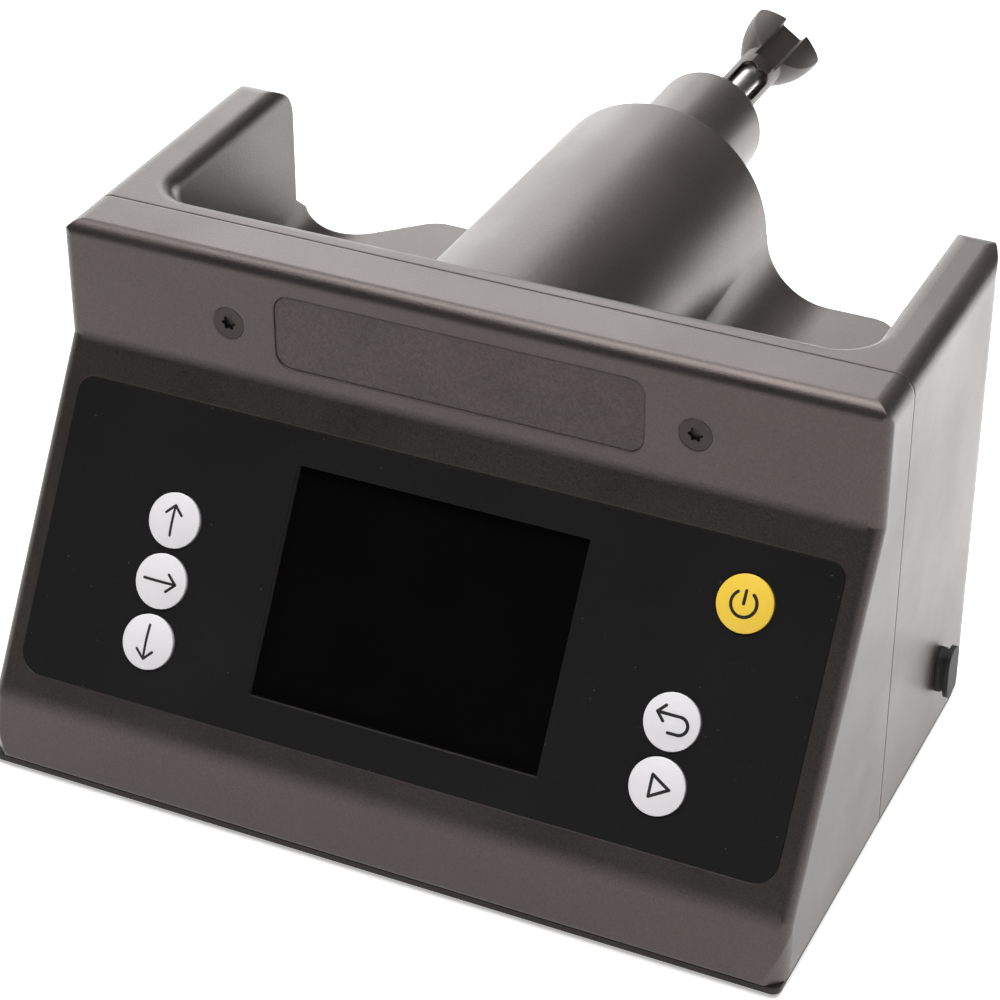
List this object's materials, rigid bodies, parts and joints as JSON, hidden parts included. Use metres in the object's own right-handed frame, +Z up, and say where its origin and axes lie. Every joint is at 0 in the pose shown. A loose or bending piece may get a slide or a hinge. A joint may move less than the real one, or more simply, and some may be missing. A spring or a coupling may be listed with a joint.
{
  "type": "film processor",
  "caption": "Desk top film processor: sloped key and display panel, motor nose between two arms and a winged rotary drive coupling at the back.",
  "frame": {"origin": "middle of the body's footprint (X between the side faces, Y between the front lip and the rear face) on the surface the feet stand on", "axes": "+X to the right seen from the front, +Y from the front panel to the drive coupling, +Z up"},
  "size_m": [0.1526, 0.1931, 0.0912],
  "materials": {
    "shell": "satin grained plastic",
    "film": "satin printed film",
    "window": "dark gloss window",
    "module": "plated frame",
    "board": "green circuit board",
    "key_white": "gloss",
    "key_yellow": "gloss",
    "switch": "moulded",
    "black_screw": "blackened",
    "screw": "zinc plated",
    "rubber": "matte rubber",
    "tray": "moulded",
    "cell": "shrink sleeve",
    "can": "drawn steel",
    "magnet": "ferrite",
    "rotor": "laminated steel and copper wire",
    "plate": "stamped steel",
    "gearcase": "die cast",
    "gear": "hobbed",
    "spindle": "ground bright steel",
    "bearing": "ground",
    "coupling": "glass filled plastic"
  },
  "bodies": {
    "housing": {"front_shell": "shell", "rear_shell": "shell", "joint_seal": "rubber", "base_plate": "shell", "panel_film": "film", "name_plate": "shell", "display_window": "window", "display_module": "module", "control_board": "board", "switch_up": "switch", "switch_right": "switch", "switch_down": "switch", "switch_power": "switch", "switch_return": "switch", "switch_start": "switch", "band_screw_left": "black_screw", "band_screw_right": "black_screw", "board_screw_1": "screw", "board_screw_2": "screw", "board_screw_3": "screw", "board_screw_4": "screw", "base_screw_1": "screw", "base_screw_2": "screw", "base_screw_3": "screw", "base_screw_4": "screw", "foot_1": "rubber", "foot_2": "rubber", "foot_3": "rubber", "foot_4": "rubber", "battery_tray": "tray", "battery_cell_1": "cell", "battery_cell_2": "cell", "power_board": "board", "charge_socket": "switch", "sounder": "switch", "motor_can": "can", "motor_magnets": "magnet", "gearbox_plate": "plate", "gearbox_case": "gearcase", "motor_screw_1": "screw", "motor_screw_2": "screw", "motor_screw_3": "screw", "spindle_sleeve": "shell", "inner_bearing": "bearing", "outer_bearing": "bearing", "shaft_seal": "rubber"},
    "rotor": {"motor_rotor": "rotor"},
    "stage": {"stage_gear": "gear"},
    "drive": {"output_gear": "gear", "spindle": "spindle", "drive_coupling": "coupling", "coupling_screw": "screw"},
    "plug": {"port_plug": "rubber"},
    "key_up": {"key_up": "key_white"},
    "key_right": {"key_right": "key_white"},
    "key_down": {"key_down": "key_white"},
    "key_power": {"key_power": "key_yellow"},
    "key_return": {"key_return": "key_white"},
    "key_start": {"key_start": "key_white"}
  },
  "joints": [
    {"name": "rotor_spin", "type": "hinge", "parent": "housing", "child": "rotor", "pos_m": [0, 0.01975, 0.0678], "axis": [0, 1, 0], "continuous": true},
    {"name": "stage_spin", "type": "hinge", "parent": "housing", "child": "stage", "pos_m": [0.0083, 0.04475, 0.07128], "axis": [0, 1, 0], "continuous": true},
    {"name": "drive_spin", "type": "hinge", "parent": "housing", "child": "drive", "pos_m": [0, 0.06215, 0.07475], "axis": [0, 1, 0], "continuous": true},
    {"name": "plug_pull", "type": "slide", "parent": "housing", "child": "plug", "axis": [1, 0, 0], "range_m": [0, 0.012]},
    {"name": "key_up_press", "type": "slide", "parent": "housing", "child": "key_up", "axis": [0, 0.8546, -0.5194], "range_m": [0, 0.0005], "stiffness_N_per_m": 3000},
    {"name": "key_right_press", "type": "slide", "parent": "housing", "child": "key_right", "axis": [0, 0.8546, -0.5194], "range_m": [0, 0.0005], "stiffness_N_per_m": 3000},
    {"name": "key_down_press", "type": "slide", "parent": "housing", "child": "key_down", "axis": [0, 0.8546, -0.5194], "range_m": [0, 0.0005], "stiffness_N_per_m": 3000},
    {"name": "key_power_press", "type": "slide", "parent": "housing", "child": "key_power", "axis": [0, 0.8546, -0.5194], "range_m": [0, 0.0005], "stiffness_N_per_m": 3000},
    {"name": "key_return_press", "type": "slide", "parent": "housing", "child": "key_return", "axis": [0, 0.8546, -0.5194], "range_m": [0, 0.0005], "stiffness_N_per_m": 3000},
    {"name": "key_start_press", "type": "slide", "parent": "housing", "child": "key_start", "axis": [0, 0.8546, -0.5194], "range_m": [0, 0.0005], "stiffness_N_per_m": 3000}
  ],
  "couplings": [
    {"joint": "stage_spin", "follows": "rotor_spin", "ratio": -0.5},
    {"joint": "drive_spin", "follows": "rotor_spin", "ratio": 0.25}
  ]
}
